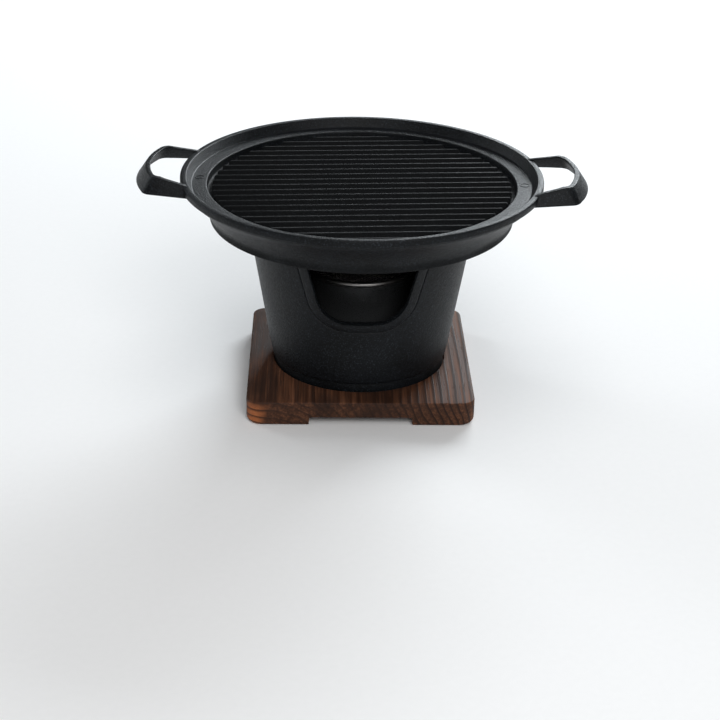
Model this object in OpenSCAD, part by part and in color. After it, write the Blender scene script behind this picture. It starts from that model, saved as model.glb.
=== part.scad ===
// One-person tabletop hibachi: a ridged pan on a conical stove, a spirit burner inside, a wooden base.
// The part stands on z = 0, centred on the base; the stove mouth faces -Y and the handles lie along X.

/* [Base board] */
// Side of the square board
board_w = 129; // [122:1:150]
// Thickness of the board, feet included
board_t = 13.8; // [11:0.2:20]
// Radius of the four upright corners
board_corner_r = 8; // [4:1:16]
// Width of the channel milled front to back in the underside
channel_w = 58; // [40:1:76]
// Height of that channel
channel_h = 4.4; // [4.4:0.1:6]
// Depth of the round recess that holds the stove
recess_depth = 2.4; // [1:0.2:4]

/* [Stove] */
// Outside diameter of the stove at its rim
stove_top_d = 130.2; // [126:0.2:134]
// Outside diameter of the stove at its lower edge
stove_low_d = 102.4; // [100:0.2:108]
// Height of the rim above the ground
stove_top_z = 101.5; // [96:0.5:110]
// Wall thickness of the casting
stove_wall = 3.5; // [3:0.1:4.5]
// Height of the lowest point of the mouth above the ground
mouth_low_z = 59.4; // [54:0.5:68]
// Half width of the mouth at its rounded lower corners
mouth_half_w = 25.6; // [22:0.2:28]
// Lean of the mouth's sides from upright, in degrees
mouth_lean = 14.5; // [5:0.5:20]
// Width of the raised border round the mouth
border_w = 5.3; // [3:0.1:7]

/* [Burner] */
// Outside diameter of the burner cup
cup_d = 66; // [56:1:68]
// Height of the burner cup
cup_h = 51.5; // [40:0.5:54]
// Sheet thickness of the cup
cup_wall = 0.8; // [0.8:0.1:1.2]

/* [Pan] */
// Outside diameter of the lip
lip_d = 205; // [196:1:215]
// Height of the lip above the ground
lip_top_z = 127; // [124:0.5:132]
// Height of the upright band under the lip
lip_band_h = 4; // [3:0.5:6]
// Diameter of the sunk cooking floor
well_d = 175; // [168:1:180]
// Number of ridges
ridge_n = 21; // [9:2:21]
// Spacing of the ridges
ridge_pitch = 8.2; // [7.4:0.1:8.2]
// Width of a ridge at its crest
ridge_crest = 1.5; // [1.2:0.1:2.5]
// Turn of the ridges from the line through the handles, in degrees
ridge_turn = 6; // [-15:0.5:15]
// Turn of the loose pan on the stove, from the board's own X direction, in degrees
pan_turn = -2.7; // [-45:0.1:45]

/* [Handles] */
// Overall length of the pan across both handles
handle_span = 256; // [246:1:264]
// Half width of a handle at its outer end, along its top edge
handle_half_w = 27.2; // [24:0.2:32]
// Width of the band that forms a handle
handle_band = 3.2; // [3:0.1:5]
// Rise of a handle's outer end above the lip
handle_rise = 4; // [0:0.5:8]

/* [Hidden] */

$fn = 96;
eps = 0.01;
through = 200;
hull_fn = 32;

// Base board
recess_z = board_t - recess_depth;
channel_corner_r = 1.2;

// Stove
foot_d = 99.6;
foot_wall = 5;
recess_d = foot_d + 1.4;
stove_low_z = 18.4;
stove_floor_t = 4;
stove_floor_z = stove_low_z + stove_floor_t;
stove_edge_r = 1.6;
stove_slope = (stove_top_d - stove_low_d) / 2 / (stove_top_z - stove_low_z);
mouth_corner_r = 17.5;
border_rise = 0.8;
border_root = 1.5;
cup_clearance = 1.2;
guide_wall = 2.5;
guide_h = 3;
rim_chamfer = 0.6;

// Burner
bead_r = 1.5;
ring_gap = 0.05;
ring_wall = 0.8;
ring_h = 9;
ring_seat_w = 3;
gauze_t = 0.8;
wick_h = 14;
cup_fillet = 4;
gauze_low = stove_floor_z + cup_h - ring_h + gauze_t;

// Pan
ledge_drop = 5.1;
crest_drop = 6.4;
valley_drop = 10;
floor_t = 4.5;
lip_flat = 3.5;
lip_lean = 2.8;
skirt_wall = 4;
skirt_low_r = 86.4;
skirt_low_round = 2;
flare_low = 25;
flare_top = 50;
ridge_gap = 2.7;
ridge_foot = 3.4;
seat_out_r = 69;
spigot_gap = 0.5;
spigot_h = 3;
spigot_wall = 3;
rib_n = 8;
rib_t = 3;
mark_d = 6;
mark_depth = 0.3;

// Handles
end_band_h = 8.7;
end_flare = 6;
end_corner_r = 10;
end_bow_r = 60;
root_half_w = 31.6;
root_band_h = 5.2;
root_flare = 4;
root_corner_r = 5;
root_x = 91;
handle_trim_r = lip_d / 2 - lip_flat + 0.3;

// Outer radius of the stove's cone at height z
function stove_r(z) = stove_low_d / 2 + stove_slope * (z - stove_low_z);

// Points of a flaring curve from (r0, z0) to (r1, z1), steep at its foot and leaning out at its top
function flare(r0, z0, r1, z1, steps) =
    [for (i = [0:steps])
        let (a = flare_low + (flare_top - flare_low) * i / steps)
        [r0 + (r1 - r0) * (cos(flare_low) - cos(a)) / (cos(flare_low) - cos(flare_top)),
         z0 + (z1 - z0) * (sin(a) - sin(flare_low)) / (sin(flare_top) - sin(flare_low))]];

// Points of an arc about (cr, cz) from angle a0 to a1
function turn(cr, cz, rad, a0, a1, steps) =
    [for (i = [0:steps]) let (a = a0 + (a1 - a0) * i / steps) [cr + rad * cos(a), cz + rad * sin(a)]];

// ---- Base board: one plank with two feet left by the channel ----

module rounded_bar(w, d, h, r) {
    translate([-w / 2 + r, -d / 2, 0]) cube([w - 2 * r, d, h]);
    translate([-w / 2, -d / 2 + r, 0]) cube([w, d - 2 * r, h]);
    for (sx = [-1, 1], sy = [-1, 1])
        translate([sx * (w / 2 - r), sy * (d / 2 - r), 0]) cylinder(h = h, r = r);
}

module channel() {
    straight_h = channel_h - channel_corner_r;
    translate([-channel_w / 2, -through / 2, -eps])
        cube([channel_w, through, straight_h + eps]);
    translate([-channel_w / 2 + channel_corner_r, -through / 2, -eps])
        cube([channel_w - 2 * channel_corner_r, through, channel_h + eps]);
    for (s = [-1, 1])
        translate([s * (channel_w / 2 - channel_corner_r), 0, straight_h])
            rotate([90, 0, 0]) cylinder(h = through, r = channel_corner_r, center = true, $fn = 24);
}

module base_board() {
    color("saddlebrown")
        difference() {
            rounded_bar(board_w, board_w, board_t, board_corner_r);
            channel();
            translate([0, 0, recess_z]) cylinder(h = board_t, d = recess_d);
        }
}

// ---- Stove: a conical casting with a floor, a foot ring and a U-shaped mouth ----

// Outline of the mouth seen from the front, grown by `grow` on every side
module mouth_outline(grow) {
    r = mouth_corner_r + grow;
    cx = mouth_half_w - mouth_corner_r;
    cz = mouth_low_z + mouth_corner_r;
    top_z = stove_top_z + 1;
    top_x = cx + r * cos(mouth_lean) + (top_z - cz + r * sin(mouth_lean)) * tan(mouth_lean);
    polygon(concat(
        turn(cx, cz, r, -90, -mouth_lean, 12),
        [[top_x, top_z], [-top_x, top_z]],
        turn(-cx, cz, r, mouth_lean - 180, -90, 12)));
}

module mouth_cutter(grow) {
    rotate([90, 0, 0]) linear_extrude(height = through / 2) mouth_outline(grow);
}

// Conical skin that stands proud of the stove's wall from low_z up to the rim
module border_skin(low_z) {
    rotate_extrude()
        polygon([[stove_r(low_z) - border_root, low_z], [stove_r(low_z) + border_rise, low_z],
                 [stove_r(stove_top_z) + border_rise, stove_top_z],
                 [stove_r(stove_top_z) - border_root, stove_top_z]]);
}

module stove_casting() {
    inner_low = stove_r(stove_floor_z) - stove_wall;
    inner_top = stove_r(stove_top_z) - stove_wall;
    guide_r = cup_d / 2 + cup_clearance + guide_wall;
    rotate_extrude()
        polygon(concat(
            [[0, stove_low_z], [foot_d / 2 - foot_wall, stove_low_z], [foot_d / 2 - foot_wall, recess_z],
             [foot_d / 2, recess_z], [foot_d / 2, stove_low_z]],
            turn(stove_low_d / 2 - stove_edge_r, stove_low_z + stove_edge_r, stove_edge_r, -90, 0, 6),
            [[stove_r(stove_top_z - rim_chamfer), stove_top_z - rim_chamfer],
             [stove_r(stove_top_z) - rim_chamfer, stove_top_z],
             [inner_top, stove_top_z], [inner_low, stove_floor_z], [guide_r, stove_floor_z],
             [guide_r, stove_floor_z + guide_h], [guide_r - guide_wall, stove_floor_z + guide_h],
             [guide_r - guide_wall, stove_floor_z], [0, stove_floor_z]]));
}

module stove_body() {
    color("dimgray")
        difference() {
            union() {
                stove_casting();
                intersection() {
                    border_skin(mouth_low_z - border_w * 2);
                    mouth_cutter(border_w);
                }
            }
            mouth_cutter(0);
        }
}

// ---- Burner: a drawn cup, a wadding pad, a gauze and the ring that holds them ----

module burner_cup() {
    r = cup_d / 2;
    low = stove_floor_z;
    top = low + cup_h;
    inner_r = r - cup_wall;
    color("black")
        rotate_extrude()
            polygon(concat(
                [[0, low]],
                turn(r - cup_fillet, low + cup_fillet, cup_fillet, -90, 0, 8),
                turn(r, top - bead_r, bead_r, -60, 180, 16),
                [[inner_r, top - bead_r * 2]],
                turn(r - cup_fillet, low + cup_fillet, cup_fillet - cup_wall, 0, -90, 8),
                [[0, low + cup_wall]]));
}

module burner_wick() {
    color("white")
        translate([0, 0, gauze_low - wick_h]) cylinder(h = wick_h, r = cup_d / 2 - cup_wall - ring_gap);
}

module burner_gauze() {
    color("gray")
        translate([0, 0, gauze_low]) cylinder(h = gauze_t, r = cup_d / 2 - cup_wall - ring_gap);
}

module burner_ring() {
    top = stove_floor_z + cup_h - bead_r * 2;
    low = gauze_low + gauze_t;
    out_r = cup_d / 2 - cup_wall - ring_gap;
    color("silver")
        rotate_extrude()
            polygon([[out_r - ring_seat_w, low], [out_r, low], [out_r, top], [out_r - ring_wall, top],
                     [out_r - ring_wall, low + ring_wall], [out_r - ring_seat_w, low + ring_wall]]);
}

// ---- Pan: one casting with lip, ledge, ridged floor, hollow underside and two handles ----

module pan_shell() {
    lip_r = lip_d / 2;
    band_z = lip_top_z - lip_band_h;
    ledge_z = lip_top_z - ledge_drop;
    valley_z = lip_top_z - valley_drop;
    under_z = valley_z - floor_t;
    wall_r = lip_r - lip_flat;
    bowl_top_r = lip_r - 1.6;
    skirt_in_r = skirt_low_r - skirt_wall;
    spigot_r = stove_r(stove_top_z) - stove_wall - spigot_gap;
    rotate_extrude()
        polygon(concat(
            [[0, under_z], [spigot_r - spigot_wall, under_z], [spigot_r - spigot_wall, stove_top_z - spigot_h],
             [spigot_r, stove_top_z - spigot_h], [spigot_r, stove_top_z], [seat_out_r, stove_top_z],
             [seat_out_r, under_z], [skirt_in_r, under_z], [skirt_in_r, stove_top_z]],
            turn(skirt_low_r - skirt_low_round, stove_top_z + skirt_low_round, skirt_low_round, -90, 0, 5),
            flare(skirt_low_r, stove_top_z + skirt_low_round + 0.8, bowl_top_r, band_z - 0.6, 10),
            [[bowl_top_r, band_z], [lip_r - 0.3, band_z], [lip_r, band_z + 0.5],
             [lip_r, lip_top_z - 0.6], [lip_r - 0.6, lip_top_z], [wall_r, lip_top_z],
             [wall_r - lip_lean, ledge_z], [well_d / 2, ledge_z], [well_d / 2, valley_z], [0, valley_z]]));
}

module ridges() {
    valley_z = lip_top_z - valley_drop;
    crest_z = lip_top_z - crest_drop;
    ridge_h = crest_z - valley_z;
    intersection() {
        cylinder(h = crest_z, r = well_d / 2 - ridge_gap);
        rotate([0, 0, ridge_turn])
            for (i = [0:ridge_n - 1])
                translate([-well_d / 2, (i - (ridge_n - 1) / 2) * ridge_pitch, valley_z - 1])
                    rotate([90, 0, 90])
                        linear_extrude(height = well_d)
                            polygon([[-ridge_foot / 2, 0], [ridge_foot / 2, 0], [ridge_foot / 2, 1],
                                     [ridge_crest / 2, ridge_h + 1], [-ridge_crest / 2, ridge_h + 1],
                                     [-ridge_foot / 2, 1]]);
    }
}

module ribs() {
    under_z = lip_top_z - valley_drop - floor_t;
    rib_low = stove_top_z + 3;
    length = skirt_low_r - skirt_wall - seat_out_r;
    for (i = [0:rib_n - 1])
        rotate([0, 0, (i + 0.5) * 360 / rib_n])
            translate([seat_out_r - 1, -rib_t / 2, rib_low])
                cube([length + 2, rib_t, under_z - rib_low + 1]);
}

// Solid between a handle's two roots and its bowed end, `inset` inside its outer face and `over` past its edges
module handle_block(inset, over) {
    end_top_z = lip_top_z + handle_rise;
    root_top_z = lip_top_z - 0.4;
    bow_r = end_bow_r - end_corner_r;
    bow_x = handle_span / 2 - end_flare - end_bow_r;
    bow_turn = asin((handle_half_w - end_corner_r) / bow_r);
    end_lean = end_flare / end_band_h;
    root_lean = root_flare / root_band_h;
    hull() {
        for (i = [-2:2])
            translate([bow_x + bow_r * cos(bow_turn * i / 2), bow_r * sin(bow_turn * i / 2),
                       end_top_z - end_band_h - over])
                cylinder(h = end_band_h + 2 * over, r1 = end_corner_r - inset + end_flare + over * end_lean,
                         r2 = end_corner_r - inset - over * end_lean, $fn = hull_fn);
        for (s = [-1, 1])
            translate([root_x, s * (root_half_w - root_corner_r), root_top_z - root_band_h - over])
                cylinder(h = root_band_h + 2 * over,
                         r1 = root_corner_r - inset + root_flare + over * root_lean,
                         r2 = max(root_corner_r - inset - over * root_lean, 0.5), $fn = hull_fn);
    }
}

module handle() {
    difference() {
        handle_block(0, 0);
        handle_block(handle_band, 1);
        cylinder(h = through, r = handle_trim_r);
    }
}

module grill_pan() {
    mark_r = (well_d + lip_d) / 4 - lip_flat / 2 - lip_lean / 2;
    color("dimgray")
        rotate([0, 0, pan_turn])
            difference() {
                union() {
                    pan_shell();
                    ridges();
                    ribs();
                    handle();
                    rotate([0, 0, 180]) handle();
                }
                for (s = [-1, 1])
                    translate([s * mark_r, 0, lip_top_z - ledge_drop - mark_depth])
                        cylinder(h = 1, d = mark_d);
            }
}

base_board();
stove_body();
burner_cup();
burner_wick();
burner_gauze();
burner_ring();
grill_pan();
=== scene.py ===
import math

import bmesh
import bpy
from mathutils import Matrix, Vector, noise


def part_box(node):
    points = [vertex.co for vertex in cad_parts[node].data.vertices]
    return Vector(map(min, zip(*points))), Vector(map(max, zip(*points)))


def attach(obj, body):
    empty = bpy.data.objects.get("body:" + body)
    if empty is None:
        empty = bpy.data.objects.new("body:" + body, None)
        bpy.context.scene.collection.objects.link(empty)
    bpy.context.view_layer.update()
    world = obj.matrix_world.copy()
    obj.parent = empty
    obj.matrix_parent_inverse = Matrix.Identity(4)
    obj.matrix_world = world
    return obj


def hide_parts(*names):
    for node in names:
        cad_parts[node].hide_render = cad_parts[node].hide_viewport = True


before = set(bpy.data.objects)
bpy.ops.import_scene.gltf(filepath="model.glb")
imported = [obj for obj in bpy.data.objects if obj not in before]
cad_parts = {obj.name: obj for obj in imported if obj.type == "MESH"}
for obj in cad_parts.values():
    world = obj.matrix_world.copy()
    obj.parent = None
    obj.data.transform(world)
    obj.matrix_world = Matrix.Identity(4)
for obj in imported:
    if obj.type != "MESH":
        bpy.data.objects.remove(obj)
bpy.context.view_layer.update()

# ---- Base board ----
# One square plank of a light open-grained timber, flamed until its grain is dark and then brushed.
# A channel milled front to back in the underside leaves two feet, and a round recess in the top keeps
# the stove from sliding. Every edge is eased with sandpaper.

board_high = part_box("base_board")[1]
stove_low, stove_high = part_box("stove_body")
BOARD_HALF = board_high.x
BOARD_TOP = board_high.z
BOARD_CORNER = 0.008
BOARD_EDGE = 0.0008
FOOT_EDGE_ENDS = 0.0008
FOOT_EDGE_SIDES = 0.0028
CHANNEL_HALF = 0.029
CHANNEL_TOP = 0.0044
CHANNEL_CORNER = 0.0012
RECESS_FLOOR = stove_low.z
RECESS_RADIUS = 0.0505
RECESS_BREAK = 0.0005
RECESS_RINGS = (0.050, 0.034, 0.017)
CHANNEL_BREAK = 0.0006
CHANNEL_STATIONS = (0, 0.007, 0.014, 0.021)
FOOT_STATIONS = (0.034, 0.040, 0.046, 0.051, 0.056)
BOARD_CREASE = 60
LOG_HEART = (-0.058, 0, -0.040)
RINGS_PER_METRE = 245.0
EMBER_AT = (-0.063, -0.066, 0.007)
CHARRED = (0.022, 0.0105, 0.0070, 1)
TOASTED = (0.078, 0.028, 0.013, 1)
BRUSHED = (0.250, 0.102, 0.050, 1)
EMBER = (0.38, 0.125, 0.045, 1)


class Wire:
    """A socket in a finish's node tree; arithmetic on it adds the Math nodes."""

    def __init__(self, finish, socket):
        self.finish = finish
        self.socket = socket

    def sum_of(self, operation, *values):
        return self.finish.node("Math", {"operation": operation}, *values)

    def __add__(self, other):
        return self.sum_of("ADD", self, other)

    def __sub__(self, other):
        return self.sum_of("SUBTRACT", self, other)

    def __rsub__(self, other):
        return self.sum_of("SUBTRACT", other, self)

    def __mul__(self, other):
        return self.sum_of("MULTIPLY", self, other)

    __radd__ = __add__
    __rmul__ = __mul__


class Finish:
    """A material: `node` adds one shader node, and `coat` fills in the Principled sockets."""

    def __init__(self, name):
        self.material = bpy.data.materials.new(name)
        self.material.use_nodes = True
        self.tree = self.material.node_tree
        self.shader = self.tree.nodes["Principled BSDF"]

    def node(self, kind, settings=None, *values, out=0, **named):
        made = self.tree.nodes.new("ShaderNode" + kind)
        for key, value in (settings or {}).items():
            setattr(made, key, value)
        for key, value in [*enumerate(values), *named.items()]:
            self.feed(made, key, value)
        return Wire(self, made.outputs[out])

    def feed(self, made, key, value):
        if isinstance(value, Wire):
            self.tree.links.new(value.socket, made.inputs[key])
        elif value is not None:
            made.inputs[key].default_value = value

    def coat(self, **named):
        for key, value in named.items():
            self.feed(self.shader, key.replace("_", " "), value)

    def place(self, stretch=(1, 1, 1)):
        at = self.node("TexCoord", out=3)
        return self.node("VectorMath", {"operation": "MULTIPLY"}, at, stretch)

    def noise(self, at, scale, detail=2.0, rough=0.5):
        return self.node("TexNoise", None, Vector=at, Scale=scale, Detail=detail, Roughness=rough)

    def between(self, value, low, high, to_low=0.0, to_high=1.0):
        return self.node("MapRange", {"interpolation_type": "SMOOTHSTEP"},
                         value, low, high, to_low, to_high)

    def mix(self, mask, first, second):
        made = self.tree.nodes.new("ShaderNodeMix")
        made.data_type = "RGBA"
        for key, value in ((0, mask), (6, first), (7, second)):
            self.feed(made, key, value)
        return Wire(self, made.outputs[2])

    def bump(self, height, depth):
        return self.node("Bump", None, Strength=1.0, Distance=depth, Height=height)


def add_piece(name, points, faces, finish, body, slot, nodes=(), crease=50):
    """A mesh object made of these points and faces, smooth except across edges sharper than `crease`."""
    mesh = bpy.data.meshes.new(name)
    mesh.from_pydata([tuple(p) for p in points], [], faces)
    mesh.validate()
    mesh.update()
    piece = bpy.data.objects.new(name, mesh)
    bpy.context.scene.collection.objects.link(piece)
    mesh.shade_smooth()
    mesh.set_sharp_from_angle(angle=math.radians(crease))
    mesh.materials.append(finish.material)
    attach(piece, body)
    if nodes:
        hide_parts(*nodes)
    return piece


def quads(rows, closed=False):
    """Quads between neighbouring rows of point numbers; `closed` joins each row's end to its start."""
    faces = []
    for near, far in zip(rows, rows[1:]):
        span = len(near) if closed else len(near) - 1
        for i in range(span):
            j = (i + 1) % len(near)
            faces.append((near[i], near[j], far[j], far[i]))
    return faces


def arc(turn_from, turn_to, steps):
    """Unit (cos, sin) pairs from one angle to another, in degrees."""
    turns = [turn_from + (turn_to - turn_from) * i / steps for i in range(steps + 1)]
    return [(math.cos(math.radians(t)), math.sin(math.radians(t))) for t in turns]


def foot_edge(sideways):
    """Rounding of the lower edge, larger along the sides than on the sawn ends."""
    return FOOT_EDGE_ENDS + (FOOT_EDGE_SIDES - FOOT_EDGE_ENDS) * abs(sideways)


def board_underside():
    """(x, half depth, z) of the underside across the board, from foot to channel to foot."""
    mid = CHANNEL_HALF - CHANNEL_CORNER
    half = [(x, CHANNEL_TOP) for x in CHANNEL_STATIONS]
    half += [(mid + CHANNEL_CORNER * c, CHANNEL_TOP - CHANNEL_CORNER * (1 - s))
             for c, s in arc(90, 5, 5)]
    half += [(CHANNEL_HALF + 0.0001, 0.0016), (CHANNEL_HALF + 0.00015, 0.0007)]
    half += [(CHANNEL_HALF + 0.0008 - CHANNEL_BREAK * c, CHANNEL_BREAK * (1 - s))
             for c, s in arc(20, 90, 3)]
    half += [(x, 0.0) for x in FOOT_STATIONS]
    half = [(x, BOARD_HALF - FOOT_EDGE_ENDS, z) for x, z in half]
    straight = BOARD_HALF - BOARD_CORNER
    half += [(straight + (BOARD_CORNER - foot_edge(c)) * c,
              straight + (BOARD_CORNER - foot_edge(c)) * s, 0.0) for c, s in arc(75, 0, 5)]
    return [(-x, depth, z) for x, depth, z in reversed(half[1:])] + half


def board_mesh():
    points, faces = [], []

    def row_of(new):
        start = len(points)
        points.extend(new)
        return list(range(start, len(points)))

    depth_steps = 22
    grid = []
    for x, depth, z in board_underside():
        grid.append(row_of([(x, -depth + 2 * depth * j / depth_steps, z)
                            for j in range(depth_steps + 1)]))
    faces += quads(grid)
    loop = [row[0] for row in grid] + grid[-1][1:-1] + [row[-1] for row in reversed(grid)]
    loop += list(reversed(grid[0][1:-1]))
    outline = []
    for number in loop:
        x, y, z = points[number]
        corner = Vector((math.copysign(min(abs(x), BOARD_HALF - BOARD_CORNER), x),
                         math.copysign(min(abs(y), BOARD_HALF - BOARD_CORNER), y)))
        out = Vector((x, y)) - corner
        if out.length < 1e-6:
            out = Vector((0, y)) if abs(y) > abs(x) else Vector((x, 0))
        outline.append((corner, out.normalized(), z))

    def ring(inset, height):
        return row_of([(*(corner + out * (BOARD_CORNER - inset(out))), height(out, z))
                       for corner, out, z in outline])

    rings = [loop]
    for c, s in arc(-90, 0, 5)[1:]:
        rings.append(ring(lambda out, c=c: foot_edge(out.x) * (1 - c),
                          lambda out, z, s=s: z + foot_edge(out.x) * (1 + s)))
    side_top = BOARD_TOP - BOARD_EDGE
    for share in (0.4, 0.8):
        rings.append(ring(lambda out: 0,
                          lambda out, z, k=share: (z + foot_edge(out.x)) * (1 - k) + side_top * k))
    for c, s in arc(0, 90, 5):
        rings.append(ring(lambda out, c=c: BOARD_EDGE * (1 - c),
                          lambda out, z, s=s: side_top + BOARD_EDGE * s))

    def circle(radius, z, share=1.0):
        made = []
        for corner, out, _ in outline:
            edge = corner + out * (BOARD_CORNER - BOARD_EDGE)
            turn = edge.normalized()
            made.append((*(edge * (1 - share) + turn * radius * share), z))
        return row_of(made)

    for share in (0.25, 0.55, 0.85, 1.0):
        rings.append(circle(RECESS_RADIUS + RECESS_BREAK, BOARD_TOP, share))
    for c, s in arc(90, 180, 3)[1:]:
        rings.append(circle(RECESS_RADIUS + RECESS_BREAK + RECESS_BREAK * c,
                            BOARD_TOP - RECESS_BREAK * (1 - s)))
    rings.append(circle(RECESS_RADIUS, RECESS_FLOOR))
    for radius in RECESS_RINGS:
        rings.append(circle(radius, RECESS_FLOOR))
    faces += quads(rings, closed=True)
    faces.append(tuple(rings[-1]))
    return points, faces


def burnt_wood():
    """Growth rings as a log has them: straight lines along the plank, arcs on its ends."""
    finish = Finish("burnt_wood")
    at = finish.place()
    sway = finish.noise(finish.place((22, 3.2, 22)), 1.0, 2.0)
    fine = finish.noise(finish.place((90, 8, 90)), 1.0, 3.0)
    heart = finish.node("VectorMath", {"operation": "SUBTRACT"}, at, LOG_HEART)
    across = finish.node("VectorMath", {"operation": "MULTIPLY"}, heart, (1, 0, 1))
    reach = finish.node("VectorMath", {"operation": "LENGTH"}, across, out=1)
    rings = reach + (sway - 0.5) * 0.014 + (fine - 0.5) * 0.0022
    turn = finish.node("Math", {"operation": "FRACT"}, rings * RINGS_PER_METRE)
    late = finish.between(turn, 0.48, 0.86) * (1 - finish.between(turn, 0.92, 1.0))
    face = finish.node("SeparateXYZ", None, finish.node("NewGeometry", out=1), out=1)
    sawn = finish.between(face * face, 0.4, 0.7)
    streak = finish.noise(finish.place((260, 9, 260)), 1.0, 3.0, 0.6)
    pores = finish.noise(finish.place((2600, 60, 2600)), 1.0, 2.0)
    pore = finish.between(pores, 0.60, 0.72)
    fibre = finish.noise(finish.place((900, 22, 900)), 1.0, 3.0)
    flame = finish.between(finish.noise(finish.place((34, 13, 34)), 1.0, 3.0), 0.36, 0.66)
    # side is 0 on the board's left half and rises to 1 towards its right edge. It is painted light: it
    # thins the char towards the right, painting the right side lighter where the light reaches in under the
    # pan, and it deepens the dark rings there.
    side = finish.between(finish.node("SeparateXYZ", None, at, out=0) + (sway - 0.5) * 0.03, 0.0, 0.045)
    wood = finish.mix(finish.between(fibre, 0.30, 0.75), TOASTED, BRUSHED)
    wood = finish.mix(flame * (0.70 - side * 0.45) + 0.16 * (1 - side), wood, CHARRED)
    wood = finish.mix(sawn * 0.42, wood, CHARRED)
    wood = finish.mix(finish.between(streak, 0.48, 0.66) * 0.45, wood, CHARRED)
    wood = finish.mix(late * (0.45 + side * 0.40 + sawn * 0.10), wood, CHARRED)
    wood = finish.mix(pore * 0.6, wood, CHARRED)
    spot = finish.node("VectorMath", {"operation": "DISTANCE"}, at, EMBER_AT, out=1)
    ember = (1 - finish.between(spot + (fine - 0.5) * 0.014, 0.004, 0.013)) * (1 - late * 0.8)
    wood = finish.mix(ember, wood, EMBER)
    relief = late * 0.7 + fibre * 0.25 - pore * 0.4
    finish.coat(Base_Color=wood, Roughness=finish.between(fibre, 0.2, 0.8, 0.52, 0.70),
                Specular_IOR_Level=0.18, Normal=finish.bump(relief, 0.0002))
    return finish


add_piece("base_board_plank", *board_mesh(), burnt_wood(), "board", "burnt_wood", ["base_board"],
          crease=BOARD_CREASE)

# ---- Stove ----
# A conical aluminium casting with a floor, a foot ring that stands in the board's recess and a guide ring
# round the burner. The draught mouth is cut through the front wall down from the rim, inside a raised
# border. It is coated all over with a baked black finish with a coarse grain.

STOVE_LOW_R = 0.0512
STOVE_LOW = 0.0184
STOVE_TOP_R = 0.0651
STOVE_TOP = stove_high.z
STOVE_WALL = 0.0035
STOVE_EDGE = 0.0016
STOVE_FLOOR = 0.0224
STOVE_SLOPE = (STOVE_TOP_R - STOVE_LOW_R) / (STOVE_TOP - STOVE_LOW)
RIM_ROUND = 0.0007
FOOT_R = 0.0498
FOOT_WALL = 0.005
GUIDE_R = 0.0342
GUIDE_WALL = 0.0025
GUIDE_TOP = 0.0254
MOUTH_LOW = 0.0594
MOUTH_HALF = 0.0256
MOUTH_CORNER = 0.0175
MOUTH_LEAN = 14.5
BORDER = 0.0053
BORDER_RISE = 0.0008
PATCH_RING = 0.0078
OUTER_STEPS = (0.0, 0.0002, 0.0006, 0.0012, BORDER - 0.0005, BORDER - 0.0001, BORDER + 0.0002,
               BORDER + 0.0006, BORDER + 0.0010, PATCH_RING)
INNER_STEPS = (0.0, 0.0004, 0.0030, PATCH_RING)
RIM_POINTS = 5
FOOT_POINTS = 18
BACK_COLUMNS = 120
STOVE_CREASE = 42
PATCH_TURN = 47.0
PATCH_LOW = 0.0475
COAL = (0.0056, 0.0068, 0.0082, 1)
DARK_TONE_AND_SHADE = (0.0032, 0.0038, 0.0044, 1)
GRIT = (0.036, 0.043, 0.053, 1)


def coated(name, roughness, grain_depth, dull_within=0.0):
    """Baked black coating with a coarse grain that glints where light grazes it; `dull_within` is a radius
    inside which cooking has left it duller, and inside which its colour is darkened as painted shade of the
    sunk, ridged floor."""
    finish = Finish(name)
    at = finish.place()
    grain = finish.noise(at, 850.0, 3.0, 0.7)
    speck = finish.noise(at, 1500.0, 1.0)
    cloud = finish.noise(at, 42.0, 3.0)
    grit = finish.between(speck, 0.58, 0.68)
    colour = finish.mix(finish.between(cloud, 0.3, 0.7), DARK_TONE_AND_SHADE, COAL)
    colour = finish.mix(grit * 0.5, colour, GRIT)
    rough = finish.between(grain, 0.25, 0.75, roughness - 0.09, roughness + 0.09) + (cloud - 0.5) * 0.10
    if dull_within:
        flat = finish.node("VectorMath", {"operation": "MULTIPLY"}, at, (1, 1, 0))
        reach = finish.node("VectorMath", {"operation": "LENGTH"}, flat, out=1)
        # Inside this radius the colour is darkened: painted shade of the sunk, ridged floor. The extra
        # roughness there is the dulling by cooking.
        well_shade_and_wear = 1 - finish.between(reach + (cloud - 0.5) * 0.004, dull_within - 0.001, dull_within + 0.001)
        colour = finish.mix(well_shade_and_wear * 0.7, colour, DARK_TONE_AND_SHADE)
        rough = rough + well_shade_and_wear * 0.27
    finish.coat(Base_Color=colour, Roughness=rough, Specular_IOR_Level=0.15,
                Normal=finish.bump(grain + speck * 0.6, grain_depth))
    return finish


def stove_radius(z):
    """Outer radius of the stove's wall, with the rim's rounding."""
    past = max(z - (STOVE_TOP - RIM_ROUND), 0)
    ease = RIM_ROUND - math.sqrt(max(RIM_ROUND ** 2 - past ** 2, 0))
    return STOVE_LOW_R + STOVE_SLOPE * (z - STOVE_LOW) - ease


def inner_radius(z):
    """Radius of the inside of the stove's wall."""
    return STOVE_LOW_R + STOVE_SLOPE * (z - STOVE_LOW) - STOVE_WALL


def soften(corners, steps=4):
    """A closed outline with each corner (r, z, round) replaced by an arc of that radius."""
    made = []
    for i, (r, z, radius) in enumerate(corners):
        here = Vector((r, z))
        if radius <= 0:
            made.append((r, z))
            continue
        before = Vector(corners[i - 1][:2]) - here
        after = Vector(corners[(i + 1) % len(corners)][:2]) - here
        half = before.angle(after) / 2
        back = min(radius / math.tan(half), 0.48 * before.length, 0.48 * after.length)
        first, last = here + before.normalized() * back, here + after.normalized() * back
        radius = back * math.tan(half)
        centre = here + (before.normalized() + after.normalized()).normalized() * (radius / math.sin(half))
        a, b = first - centre, last - centre
        sweep = a.angle_signed(b)
        for k in range(steps + 1):
            turned = a.copy()
            turned.rotate(Matrix.Rotation(-sweep * k / steps, 2))
            made.append(tuple(centre + turned))
    return made


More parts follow.
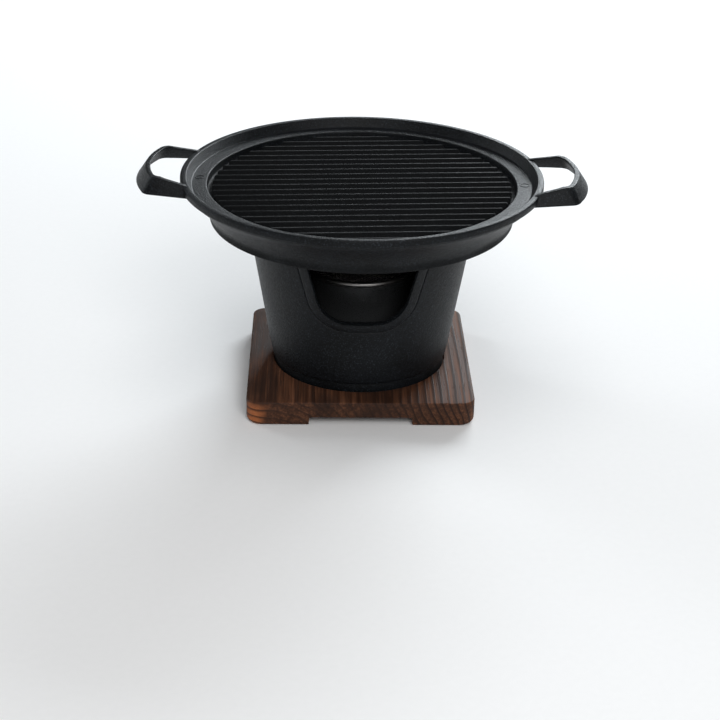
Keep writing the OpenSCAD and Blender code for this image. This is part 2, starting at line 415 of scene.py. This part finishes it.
def all_round(columns):
    return [360 * i / columns for i in range(columns + 1)]


def spin(outline, turns, closed=True):
    """The outline at each of these turns, in degrees; `closed` joins the outline's end to its start."""
    points, rows = [], []
    for turn in turns:
        c, s = math.cos(math.radians(turn)), math.sin(math.radians(turn))
        rows.append(list(range(len(points), len(points) + len(outline))))
        points.extend((r * c, r * s, z) for r, z in outline)
    return points, quads(rows, closed=closed)


def merged(*parts):
    """Several (points, faces) pairs as one."""
    points, faces = [], []
    for more_points, more_faces in parts:
        start = len(points)
        points += list(more_points)
        faces += [tuple(i + start for i in face) for face in more_faces]
    return points, faces


def welded(piece, gap=0.00002):
    """Joins points that lie on each other, drops what has no area and turns all faces outwards."""
    mesh = bmesh.new()
    mesh.from_mesh(piece.data)
    bmesh.ops.remove_doubles(mesh, verts=mesh.verts, dist=gap)
    bmesh.ops.dissolve_degenerate(mesh, edges=mesh.edges, dist=gap)
    bmesh.ops.delete(mesh, geom=[edge for edge in mesh.edges if not edge.link_faces], context="EDGES")
    bmesh.ops.delete(mesh, geom=[point for point in mesh.verts if not point.link_faces], context="VERTS")
    bmesh.ops.recalc_face_normals(mesh, faces=mesh.faces)
    mesh.to_mesh(piece.data)
    mesh.free()
    return piece


def mouth_path(grow, top):
    """(x, z) points of the mouth's outline grown by `grow`, from top left down and round to top right."""
    lean = math.radians(MOUTH_LEAN)
    radius = MOUTH_CORNER + grow
    centre_x, centre_z = MOUTH_HALF - MOUTH_CORNER, MOUTH_LOW + MOUTH_CORNER
    foot = (centre_x + radius * math.cos(lean), centre_z - radius * math.sin(lean))
    heights = [top - RIM_ROUND * (1 - s) for c, s in arc(90, 0, 4)]
    side = [(foot[0] + (z - foot[1]) * math.tan(lean), z) for z in heights]
    for k in range(1, 12):
        z = heights[-1] + (foot[1] - heights[-1]) * k / 12
        side.append((foot[0] + (z - foot[1]) * math.tan(lean), z))
    side += [(centre_x + radius * c, centre_z + radius * s) for c, s in arc(-MOUTH_LEAN, -90, 16)]
    flat = [(centre_x * (1 - k / 3), centre_z - radius) for k in (1, 2, 3)]
    right = side + flat
    return [(-x, z) for x, z in right] + [(x, z) for x, z in reversed(right[:-1])]


def border_rise(away):
    """How far the wall stands proud at a distance from the mouth's edge."""
    shape = ((0.0, -0.0006), (0.0002, 0.0002), (0.0006, BORDER_RISE), (BORDER - 0.0005, BORDER_RISE),
             (BORDER - 0.0001, 0.0004), (BORDER + 0.0002, -0.00035), (BORDER + 0.0006, -0.00035),
             (BORDER + 0.0010, 0.0))
    for (a, low), (b, high) in zip(shape, shape[1:]):
        if away <= b:
            return low + (high - low) * (away - a) / (b - a)
    return 0.0


def stove_mesh():
    points = []

    def on_wall(x, z, inside, proud=0.0):
        radius = inner_radius(z) if inside else stove_radius(z) + proud
        points.append((x, -math.sqrt(radius ** 2 - x ** 2), z))
        return len(points) - 1

    faces = []
    turn = math.radians(PATCH_TURN)
    edge_rows = {}
    for inside in (False, True):
        rows = []
        for away in INNER_STEPS if inside else OUTER_STEPS:
            path = mouth_path(away, STOVE_TOP)
            rows.append([on_wall(x, z, inside, border_rise(away)) for x, z in path])
        count = len(path)
        side_count = (count - 1) // 2 - FOOT_POINTS
        frame_line = []
        for i in range(count):
            mirror = min(i, count - 1 - i)
            if mirror <= side_count:
                z = path[i][1]
                if mirror >= RIM_POINTS:
                    top_z = path[RIM_POINTS - 1][1]
                    past_rim = mirror - (RIM_POINTS - 1)
                    z = top_z + (PATCH_LOW - top_z) * past_rim / (side_count - (RIM_POINTS - 1))
                t = turn
            else:
                z = PATCH_LOW
                t = turn * (1 - (mirror - side_count) / ((count - 1) / 2 - side_count))
            frame_line.append((-t if i < count / 2 else t, z))
        last_path = path
        for share in (0.33, 0.66, 1.0):
            row = []
            for (x, z), (t, frame_z) in zip(last_path, frame_line):
                z_here = z * (1 - share) + frame_z * share
                radius = inner_radius(z_here) if inside else stove_radius(z_here)
                t_path = math.asin(x / radius)
                t_here = t_path * (1 - share) + t * share
                row.append(on_wall(radius * math.sin(t_here), z_here, inside))
            rows.append(row)
        faces += quads(rows)
        edge_rows[inside] = rows
    outer, inner = edge_rows[False], edge_rows[True]
    faces += quads([inner[0], outer[0]])
    for end in (0, -1):
        top_outer = [row[end] for row in outer]
        top_inner = [row[end] for row in inner]
        for k in range(len(top_outer) - 1):
            near = min(int(round(k * (len(top_inner) - 1) / (len(top_outer) - 1))), len(top_inner) - 1)
            far = min(int(round((k + 1) * (len(top_inner) - 1) / (len(top_outer) - 1))), len(top_inner) - 1)
            face = [top_outer[k], top_outer[k + 1], top_inner[far]]
            faces.append(tuple(face + ([top_inner[near]] if near != far else [])))

    side_z = [z for t, z in frame_line[:side_count + 1]]
    wall_outer = [(stove_radius(z), z) for z in side_z]
    wall_inner = [(inner_radius(z), z) for z in side_z]
    flank = list(reversed(wall_inner)) + wall_outer
    back_span = 360 - 2 * PATCH_TURN
    back_turns = [-90 + PATCH_TURN + back_span * i / BACK_COLUMNS for i in range(BACK_COLUMNS + 1)]
    front_turns = [math.degrees(t) - 90 for t, z in frame_line[side_count:count - side_count]]
    back = spin(flank, back_turns, closed=False)
    lower = [(stove_radius(z), z) for z in (PATCH_LOW, 0.040, 0.032, 0.025)]
    lower += [(STOVE_LOW_R - STOVE_EDGE + STOVE_EDGE * c + 0.0001 * (1 + s),
               STOVE_LOW + STOVE_EDGE * (1 + s)) for c, s in arc(0, -90, 5)]
    hollow = soften([(FOOT_R, STOVE_LOW, 0.0003), (FOOT_R, RECESS_FLOOR, 0.0005),
                     (FOOT_R - FOOT_WALL, RECESS_FLOOR, 0.0005), (FOOT_R - FOOT_WALL, STOVE_LOW, 0.0008)])
    floor_line = soften([(0.0, STOVE_FLOOR, 0), (GUIDE_R, STOVE_FLOOR, 0.0004),
                         (GUIDE_R, GUIDE_TOP, 0.0005), (GUIDE_R + GUIDE_WALL, GUIDE_TOP, 0.0005),
                         (GUIDE_R + GUIDE_WALL, STOVE_FLOOR, 0.0006),
                         (inner_radius(STOVE_FLOOR), STOVE_FLOOR, 0.0010),
                         (inner_radius(PATCH_LOW), PATCH_LOW, 0)])
    base = spin(lower + hollow + [(0.0, STOVE_LOW), (0.0, STOVE_FLOOR)] + floor_line[1:],
                front_turns + back_turns[1:], closed=False)
    return merged((points, faces), back, base)


black_coating = coated("black_coating", 0.46, 0.00022)
stove = welded(add_piece("stove_casting", *stove_mesh(), black_coating, "stove", "black_coating",
                         ["stove_body"], crease=STOVE_CREASE))
stove.data.set_sharp_from_angle(angle=math.radians(STOVE_CREASE))

# ---- Burner ----
# A spirit burner that only stands in the stove's guide ring: a drawn steel cup with a rolled rim, dark
# enamelled, packed with ceramic wadding that soaks up the spirit. A woven wire gauze lies on the wadding
# and a plated ring pressed into the cup holds it down.

cup_low, cup_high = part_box("burner_cup")
CUP_R = 0.033
CUP_WALL = 0.0008
BEAD_R = 0.0015
CUP_FILLET = 0.004
gauze_low, gauze_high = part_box("burner_gauze")
wick_low, wick_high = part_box("burner_wick")
ring_low, ring_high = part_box("burner_ring")
GAUZE_R = gauze_high.x - 0.0003
WIRE_R = 0.00019
WIRE_PITCH = 0.0016
ROUND_COLUMNS = 128
WICK_COLUMNS = 96
# The first colour below is lighter than the cup's real dark enamel: a painted highlight, so the cup shines
# inside the stove's mouth. The second, light bare metal along the rolled rim, is a painted highlight on the
# rim.
ENAMEL_BRIGHTENED_FOR_HIGHLIGHT = (0.13, 0.135, 0.14, 1)
RIM_PAINTED_HIGHLIGHT = (0.36, 0.35, 0.34, 1)
FIBRE_DARK = (0.16, 0.14, 0.12, 1)
FIBRE_PALE = (0.34, 0.31, 0.27, 1)
SCORCHED = (0.04, 0.032, 0.026, 1)
GAUZE_TINT = (0.10, 0.095, 0.09, 1)
RING_TINT = (0.30, 0.29, 0.28, 1)


def cup_mesh():
    low, top = cup_low.z, cup_high.z
    outline = [(0.0, low), (0.015, low)]
    outline += [(CUP_R - CUP_FILLET + CUP_FILLET * c, low + CUP_FILLET * (1 + s))
                for c, s in arc(-90, 0, 8)]
    outline += [(CUP_R, low + 0.016), (CUP_R, low + 0.030), (CUP_R, top - 0.0046)]
    outline += [(CUP_R + BEAD_R * c, top - BEAD_R + BEAD_R * s) for c, s in arc(-75, 175, 16)]
    outline += [(CUP_R - CUP_WALL, top - 0.004), (CUP_R - CUP_WALL, low + CUP_FILLET + 0.002)]
    inner = CUP_FILLET - CUP_WALL
    outline += [(CUP_R - CUP_FILLET + inner * c, low + CUP_FILLET + inner * s)
                for c, s in arc(0, -90, 6)]
    outline += [(0.0, low + CUP_WALL)]
    return spin(outline, all_round(ROUND_COLUMNS))


def enamel():
    """Satin enamel, slightly uneven as dipped. Its colour is a mid grey, lighter than the cup's dark
    enamel, as a painted highlight so the cup shines inside the stove's mouth; along the rolled rim it is
    painted as still lighter bare metal, a painted highlight on the rim.
    """
    finish = Finish("cup_enamel")
    at = finish.place()
    ripple = finish.noise(at, 160.0, 2.0)
    dust = finish.noise(at, 3200.0, 2.0)
    height = finish.node("SeparateXYZ", None, at, out=2)
    # The rolled rim is painted lighter, as bare metal: a painted highlight along the rim.
    rim = finish.between(height + (ripple - 0.5) * 0.004, cup_high.z - 0.0040, cup_high.z - 0.0015)
    colour = finish.mix(rim, ENAMEL_BRIGHTENED_FOR_HIGHLIGHT, RIM_PAINTED_HIGHLIGHT)
    finish.coat(Base_Color=colour, Roughness=finish.between(dust, 0.3, 0.7, 0.26, 0.36) + rim * 0.06,
                Metallic=0.8 + rim * 0.2, Specular_IOR_Level=0.8,
                Normal=finish.bump(ripple + dust * 0.06, 0.00016))
    return finish


def wadding():
    """Matted ceramic fibre, scorched brown with nearly black patches by use."""
    finish = Finish("wadding")
    at = finish.place()
    fluff = finish.noise(at, 520.0, 5.0, 0.7)
    strands = finish.noise(finish.place((1500, 260, 700)), 1.0, 3.0)
    char = finish.between(finish.noise(at, 60.0, 3.0), 0.42, 0.72)
    colour = finish.mix(fluff, FIBRE_DARK, FIBRE_PALE)
    colour = finish.mix(char * 0.7, colour, SCORCHED)
    finish.coat(Base_Color=colour, Roughness=0.95, Specular_IOR_Level=0.1,
                Normal=finish.bump(fluff + strands * 0.6, 0.0006))
    return finish


def plated(name, tint, roughness, scale):
    """Thin bright plating, dulled and tinted a little by heat."""
    finish = Finish(name)
    at = finish.place()
    haze = finish.noise(at, 75.0, 3.0)
    scuff = finish.noise(at, scale, 2.0)
    blued = tuple(c * k for c, k in zip(tint[:3], (0.62, 0.60, 0.66))) + (1,)
    finish.coat(Base_Color=finish.mix(finish.between(haze, 0.35, 0.7), tint, blued), Metallic=1.0,
                Roughness=finish.between(scuff, 0.3, 0.7, roughness - 0.06, roughness + 0.1),
                Normal=finish.bump(scuff, 0.00003))
    return finish


def wick_mesh():
    radius = wick_high.x - 0.0003
    outline = soften([(0.0, wick_low.z, 0), (radius, wick_low.z, 0.003),
                      (radius, wick_high.z - 0.0002, 0.003), (0.0, wick_high.z - 0.0002, 0)])
    filled = []
    for (r0, z0), (r1, z1) in zip(outline, outline[1:] + outline[:1]):
        parts = max(int(math.hypot(r1 - r0, z1 - z0) / 0.0016), 1)
        filled += [(r0 + (r1 - r0) * k / parts, z0 + (z1 - z0) * k / parts) for k in range(parts)]
    points, faces = spin(filled, all_round(WICK_COLUMNS))
    matted = []
    for p in points:
        lump = noise.noise(Vector(p) * 320) * 0.0002 - 0.0003
        r = math.hypot(p[0], p[1])
        squeeze = 1 + lump / max(r, 0.004)
        middle = (wick_low.z + wick_high.z) / 2
        matted.append((p[0] * squeeze, p[1] * squeeze, p[2] + (lump if p[2] > middle else -lump)))
    return matted, faces


def bar_faces(rows):
    """The faces of a bar whose rows of points run round it, closed at both ends."""
    return quads(rows, closed=True) + [tuple(reversed(rows[0])), tuple(rows[-1])]


def gauze_mesh():
    """Plain weave: wires along X pass over and under wires along Y in turn."""
    points, faces = [], []
    middle = (gauze_low.z + gauze_high.z) / 2
    lift = (gauze_high.z - gauze_low.z) / 2 - WIRE_R
    count = int(GAUZE_R / WIRE_PITCH)
    for along_x in (True, False):
        for k in range(-count, count + 1):
            side = k * WIRE_PITCH
            reach = math.sqrt(max(GAUZE_R ** 2 - side ** 2, 0))
            stations = max(int(reach * 2 / (WIRE_PITCH / 4)), 2)
            rows = []
            for i in range(stations + 1):
                run = -reach + 2 * reach * i / stations
                wave = math.cos(math.pi * (run / WIRE_PITCH + k)) * (1 if along_x else -1)
                height = middle + lift * wave
                rows.append(list(range(len(points), len(points) + 6)))
                for c, s in arc(0, 300, 5):
                    a, b = side + WIRE_R * c, height + WIRE_R * s
                    points.append((run, a, b) if along_x else (a, run, b))
            faces += bar_faces(rows)
    return points, faces


def ring_mesh():
    out_r, low, top = ring_high.x, ring_low.z, ring_high.z
    outline = soften([(out_r - 0.003, low, 0.0002), (out_r, low, 0.0006), (out_r, top, 0.0003),
                      (out_r - 0.0008, top, 0.0003), (out_r - 0.0008, low + 0.0008, 0.0004),
                      (out_r - 0.003, low + 0.0008, 0.0002)])
    return spin(outline, all_round(ROUND_COLUMNS))


welded(add_piece("burner_cup_drawn", *cup_mesh(), enamel(), "burner", "cup_enamel", ["burner_cup"]))
welded(add_piece("burner_wadding", *wick_mesh(), wadding(), "burner", "wadding",
                           ["burner_wick"]))
welded(add_piece("burner_wire_gauze", *gauze_mesh(), plated("gauze_steel", GAUZE_TINT, 0.42, 900.0),
                 "burner", "gauze_steel", ["burner_gauze"]), gap=0.000002)
welded(add_piece("burner_press_ring", *ring_mesh(), plated("ring_steel", RING_TINT, 0.32, 1200.0),
                 "burner", "ring_steel", ["burner_ring"]))

# ---- Grill pan ----
# A die-cast aluminium pan that rests on the stove's rim by a seat ring under its floor. A raised lip, a
# sunk ledge that catches the fat and 21 ridges lie inside it, the underside is cored out between eight
# ribs, and the whole is coated black. Its two handles are cast with it, so they have no fixings.

pan_low, pan_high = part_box("grill_pan")
LIP_R = 0.1025
LIP_TOP = 0.127
BAND_LOW = 0.123
LEDGE_Z = 0.1219
CREST_Z = 0.1206
VALLEY_Z = 0.117
UNDER_Z = 0.1125
WELL_R = 0.0875
LIP_FLAT = 0.0035
LIP_LEAN = 0.0028
SKIRT_LOW_R = 0.0864
SKIRT_WALL = 0.004
SEAT_R = 0.069
SPIGOT_R = 0.0611
SPIGOT_WALL = 0.003
RIDGES = 21
RIDGE_PITCH = 0.0082
RIDGE_CREST = 0.00075
RIDGE_FOOT = 0.0017
RIDGE_REACH = 0.0848
RIDGE_STATIONS = (-1.0, -0.998, -0.992, -0.5, 0.0, 0.5, 0.992, 0.998, 1.0)
RIDGE_END = 0.992
RIDGE_END_SPAN = 0.008
RIDGE_DROP = 0.0006
RIDGE_TURN = 6.0
PAN_TURN = -2.7
MARK_AT = 0.092
MARK_R = 0.0028
MARK_RISE = 0.00022
PAN_COLUMNS = 288
PAN_CREASE = 50
RIBS = 8
RIB_HALF = 0.0015


def pan_shell():
    wall = LIP_R - LIP_FLAT
    bowl_top = LIP_R - 0.0016
    flare = [(0.0864, 0.1043), (0.0871, 0.1062), (0.0882, 0.1086), (0.0898, 0.1110), (0.0917, 0.1134),
             (0.0939, 0.1157), (0.0962, 0.1178), (0.0986, 0.1198), (0.1002, 0.1213), (bowl_top, 0.1224)]
    corners = [(0.0, UNDER_Z, 0), (SPIGOT_R - SPIGOT_WALL, UNDER_Z, 0.0010),
               (SPIGOT_R - SPIGOT_WALL, pan_low.z, 0.0006), (SPIGOT_R, pan_low.z, 0.0006),
               (SPIGOT_R, STOVE_TOP, 0.0003), (SEAT_R, STOVE_TOP, 0.0008), (SEAT_R, UNDER_Z, 0.0012),
               (SKIRT_LOW_R - SKIRT_WALL, UNDER_Z, 0.0015), (SKIRT_LOW_R - SKIRT_WALL, STOVE_TOP, 0.0008),
               (SKIRT_LOW_R, STOVE_TOP, 0.0016)]
    corners += [(r, z, 0) for r, z in flare]
    corners += [(bowl_top, BAND_LOW, 0.0002), (LIP_R, BAND_LOW, 0.0005), (LIP_R, LIP_TOP, 0.0010),
                (wall, LIP_TOP, 0.0008), (wall - LIP_LEAN, LEDGE_Z, 0.0009), (WELL_R, LEDGE_Z, 0.0007),
                (WELL_R, VALLEY_Z, 0.0012), (0.0, VALLEY_Z, 0)]
    return spin(soften(corners), all_round(PAN_COLUMNS))


def ridge_bars():
    """Each ridge is a bar with a rounded crest, whose ends follow the round floor."""
    section = [(-RIDGE_FOOT - 0.0005, VALLEY_Z - 0.0004), (-RIDGE_FOOT, VALLEY_Z + 0.0001),
               (-RIDGE_FOOT * 0.86, VALLEY_Z + 0.0009), (-RIDGE_CREST - 0.0001, CREST_Z - 0.0008)]
    section += [(-RIDGE_CREST + 0.0004 + 0.0005 * c, CREST_Z - 0.0005 + 0.0005 * s)
                for c, s in arc(165, 90, 3)]
    section += [(-u, z) for u, z in reversed(section)]
    turn = math.radians(RIDGE_TURN)
    parts = []
    for k in range(RIDGES):
        middle = (k - (RIDGES - 1) / 2) * RIDGE_PITCH
        points, rows = [], []
        for share in RIDGE_STATIONS:
            rows.append(list(range(len(points), len(points) + len(section))))
            ease = RIDGE_DROP * max(abs(share) - RIDGE_END, 0) / RIDGE_END_SPAN
            for u, z in section:
                v = middle + u * (1 - 0.25 * ease / RIDGE_DROP)
                reach = math.sqrt(max(RIDGE_REACH ** 2 - (middle + u) ** 2, 0.0001))
                run = reach * share
                points.append((run * math.cos(turn) - v * math.sin(turn),
                               run * math.sin(turn) + v * math.cos(turn),
                               z - (ease if z > VALLEY_Z + 0.002 else 0)))
        parts.append((points, bar_faces(rows)))
    return merged(*parts)


def rib_bars():
    parts = []
    low, high = STOVE_TOP + 0.003, UNDER_Z + 0.001
    near, far = SEAT_R - 0.001, SKIRT_LOW_R - SKIRT_WALL + 0.001
    section = [(-RIB_HALF - 0.0004, high), (-RIB_HALF, high - 0.0018), (-RIB_HALF, low + 0.0006),
               (-RIB_HALF + 0.0002, low + 0.0002), (-RIB_HALF + 0.0006, low)]
    section += [(-u, z) for u, z in reversed(section)]
    for k in range(RIBS):
        turn = 2 * math.pi * (k + 0.5) / RIBS
        points, rows = [], []
        for run in (near, (near + far) / 2, far):
            rows.append(list(range(len(points), len(points) + len(section))))
            points += [(run * math.cos(turn) - u * math.sin(turn),
                        run * math.sin(turn) + u * math.cos(turn), z) for u, z in section]
        parts.append((points, bar_faces(rows)))
    return merged(*parts)


# The handles are cast loops: a band that leans outwards all the way round, low where it grows out of the
# lip's edge and tall at its outer end, which stands a little above the lip.

HANDLE_TOP = pan_high.z
END_BAND = 0.0087
END_LEAN = 0.006
ROOT_TOP = LIP_TOP - 0.0004
ROOT_BAND = 0.0052
ROOT_LEAN = 0.0040
HANDLE_BAND = 0.0032
BOW_R = 0.060
BOW_X = 0.062
END_CORNER = 0.006
END_HALF = 0.0272
ROOT_CORNER = 0.005
ROOT_HALF = 0.0316
ROOT_X = 0.091
ROOT_REACH = 0.1002
LEG_SHARE = 0.80
BOW_SHARE = 0.84


def handle_path():
    """(point of the outer top edge, step outwards, share of the way from root to end) round one handle."""
    bow_reach = BOW_R - END_CORNER
    bow_turn = math.asin((END_HALF - END_CORNER) / bow_reach)
    corner = Vector((BOW_X + bow_reach * math.cos(bow_turn), -bow_reach * math.sin(bow_turn)))
    root = Vector((ROOT_X, -(ROOT_HALF - ROOT_CORNER)))
    leg = corner - root
    turn = math.atan2(leg.y, leg.x) - math.acos((ROOT_CORNER - END_CORNER) / leg.length)
    out = Vector((math.cos(turn), math.sin(turn)))
    start, end = root + out * ROOT_CORNER, corner + out * END_CORNER
    first = 0.5
    while (start + (end - start) * first).length > ROOT_REACH:
        first -= 0.005
    made = []
    for k in range(6):
        share = first + (LEG_SHARE - first) * k / 5
        made.append((start + (end - start) * share, out, share))
    bow_out = Vector((math.cos(bow_turn), -math.sin(bow_turn)))
    mitre = (out + bow_out) / (1 + out.dot(bow_out))
    for c, s in arc(math.degrees(turn), -math.degrees(bow_turn), 9):
        made.append((corner + Vector((c, s)) * END_CORNER, mitre, 1.0))
    for c, s in arc(-math.degrees(bow_turn) * BOW_SHARE, 0, 5):
        made.append((Vector((BOW_X, 0)) + Vector((c, s)) * BOW_R, Vector((c, s)), 1.0))
    return made + [(Vector((p.x, -p.y)), Vector((o.x, -o.y)), share)
                   for p, o, share in reversed(made[:-1])]


def onto_lip(point, along):
    """The point slid along the leg until it lies inside the lip's wall."""
    lead = point.dot(along)
    return point + along * (math.sqrt(lead ** 2 - point.length_squared + ROOT_REACH ** 2) - lead)


def handle_loop(side):
    points, rows = [], []
    path = handle_path()
    for k, (place, out, share) in enumerate(path):
        tall = ROOT_BAND + (END_BAND - ROOT_BAND) * share
        lean = ROOT_LEAN + (END_LEAN - ROOT_LEAN) * share
        top = ROOT_TOP + (HANDLE_TOP - ROOT_TOP) * share
        section = soften([(-HANDLE_BAND, top, 0.0005), (-HANDLE_BAND + lean, top - tall, 0.0006),
                          (lean, top - tall, 0.0006), (0.0, top, 0.0008)])
        rows.append(list(range(len(points), len(points) + len(section))))
        for u, z in section:
            at = place + out * u
            if k in (0, len(path) - 1):
                at = onto_lip(at, Vector((-out.y, out.x)) * (1 if k == 0 else -1))
            points.append((at.x * side, at.y * side, z))
    return points, bar_faces(rows)


def ejector_mark(side):
    """The faint raised ring that an ejector pin of the die leaves on the ledge."""
    low, top = LEDGE_Z - 0.0002, LEDGE_Z + MARK_RISE
    outline = soften([(MARK_R - 0.0006, low, 0), (MARK_R + 0.0001, low, 0),
                      (MARK_R - 0.0001, top, 0.00012), (MARK_R - 0.0004, top, 0.00012)], 2)
    points, faces = spin(outline, all_round(40))
    return [(x + side * MARK_AT, y, z) for x, y, z in points], faces


def turned_pan(points, faces):
    """The pan is loose on the stove and stands a little askew."""
    c, s = math.cos(math.radians(PAN_TURN)), math.sin(math.radians(PAN_TURN))
    return [(x * c - y * s, x * s + y * c, z) for x, y, z in points], faces


# The last argument darkens the coating inside the well as painted shade, and dulls it there.
pan_coating = coated("pan_coating", 0.43, 0.00030, WELL_R - 0.0005)
pan_parts = [pan_shell(), ridge_bars(), rib_bars()]
for side in (1, -1):
    pan_parts += [handle_loop(side), ejector_mark(side)]
pan = add_piece("grill_pan_casting", *turned_pan(*merged(*pan_parts)),
                pan_coating, "pan", "pan_coating", ["grill_pan"], crease=PAN_CREASE)
welded(pan, 0.000005)
pan.data.set_sharp_from_angle(angle=math.radians(PAN_CREASE))

# ---- Studio ----
# A wide pale floor, a large soft light from behind on the right, a smaller one from behind on the left,
# one overhead and one in front.

FLOOR_TONE = (0.90, 0.90, 0.90, 1)
FLOOR_FIBRE = (0.93, 0.93, 0.93, 1)
COOL = (0.90, 0.96, 1.0)
WORLD_STRENGTH = 0.12
FLOOR_HALF = 5.0
FLOOR_Z = -0.0002

paper_mesh = bpy.data.meshes.new("paper_floor")
paper_mesh.from_pydata([(-FLOOR_HALF, -FLOOR_HALF, FLOOR_Z), (FLOOR_HALF, -FLOOR_HALF, FLOOR_Z),
                        (FLOOR_HALF, FLOOR_HALF, FLOOR_Z), (-FLOOR_HALF, FLOOR_HALF, FLOOR_Z)],
                       [], [(0, 1, 2, 3)])
paper = Finish("paper")
paper_fibre = paper.noise(paper.place(), 260.0, 3.0)
paper.coat(Base_Color=paper.mix(paper_fibre, FLOOR_TONE, FLOOR_FIBRE), Roughness=0.9,
           Specular_IOR_Level=0.1, Normal=paper.bump(paper_fibre, 0.00005))
paper_mesh.materials.append(paper.material)
paper_floor = bpy.data.objects.new("paper_floor", paper_mesh)
bpy.context.scene.collection.objects.link(paper_floor)


def soft_light(name, place, aim, width, depth, power, tint=(1, 1, 1)):
    lamp = bpy.data.lights.new(name, "AREA")
    lamp.shape = "RECTANGLE"
    lamp.size, lamp.size_y = width, depth
    lamp.energy = power
    lamp.color = tint
    holder = bpy.data.objects.new(name, lamp)
    holder.location = place
    holder.rotation_euler = (Vector(aim) - Vector(place)).to_track_quat("-Z", "Y").to_euler()
    bpy.context.scene.collection.objects.link(holder)


soft_light("right_rear", (0.62, 1.45, 0.74), (0, 0, 0.1), 0.9, 0.6, 27, COOL)
soft_light("left_rear", (-1.3, 0.9, 0.7), (0, 0, 0.1), 0.4, 0.6, 5, COOL)
soft_light("overhead", (0.0, -0.2, 1.9), (0, 0, 0), 1.6, 1.6, 11)
soft_light("front", (0.25, -1.4, 1.1), (0, 0, 0.05), 0.9, 0.9, 15)

world = bpy.data.worlds.new("studio")
world.use_nodes = True
world.node_tree.nodes["Background"].inputs["Color"].default_value = (1, 1, 1, 1)
world.node_tree.nodes["Background"].inputs["Strength"].default_value = WORLD_STRENGTH
bpy.context.scene.world = world
bpy.context.scene.view_settings.view_transform = "Standard"

CAMERA_DOWN = 26.13
CAMERA_BACK = 1.0099
CAMERA_SIDE = 0.0008
CAMERA_AIM_Z = 0.0092
CAMERA_TURN = 1.6
CAMERA_ROLL = 1.09
LENS_MM = 84.8

view = bpy.data.cameras.new("view")
view.lens = LENS_MM
view.sensor_width = 36
camera = bpy.data.objects.new("view", view)
down = math.radians(CAMERA_DOWN)
turned = Matrix.Rotation(math.radians(-CAMERA_TURN), 4, "Z")
stand = Matrix.Translation((CAMERA_SIDE, -CAMERA_BACK * math.cos(down),
                            CAMERA_AIM_Z + CAMERA_BACK * math.sin(down)))
camera.matrix_world = (turned @ stand @ Matrix.Rotation(math.radians(90) - down, 4, "X")
                       @ Matrix.Rotation(math.radians(CAMERA_ROLL), 4, "Z"))
bpy.context.scene.collection.objects.link(camera)
bpy.context.scene.camera = camera
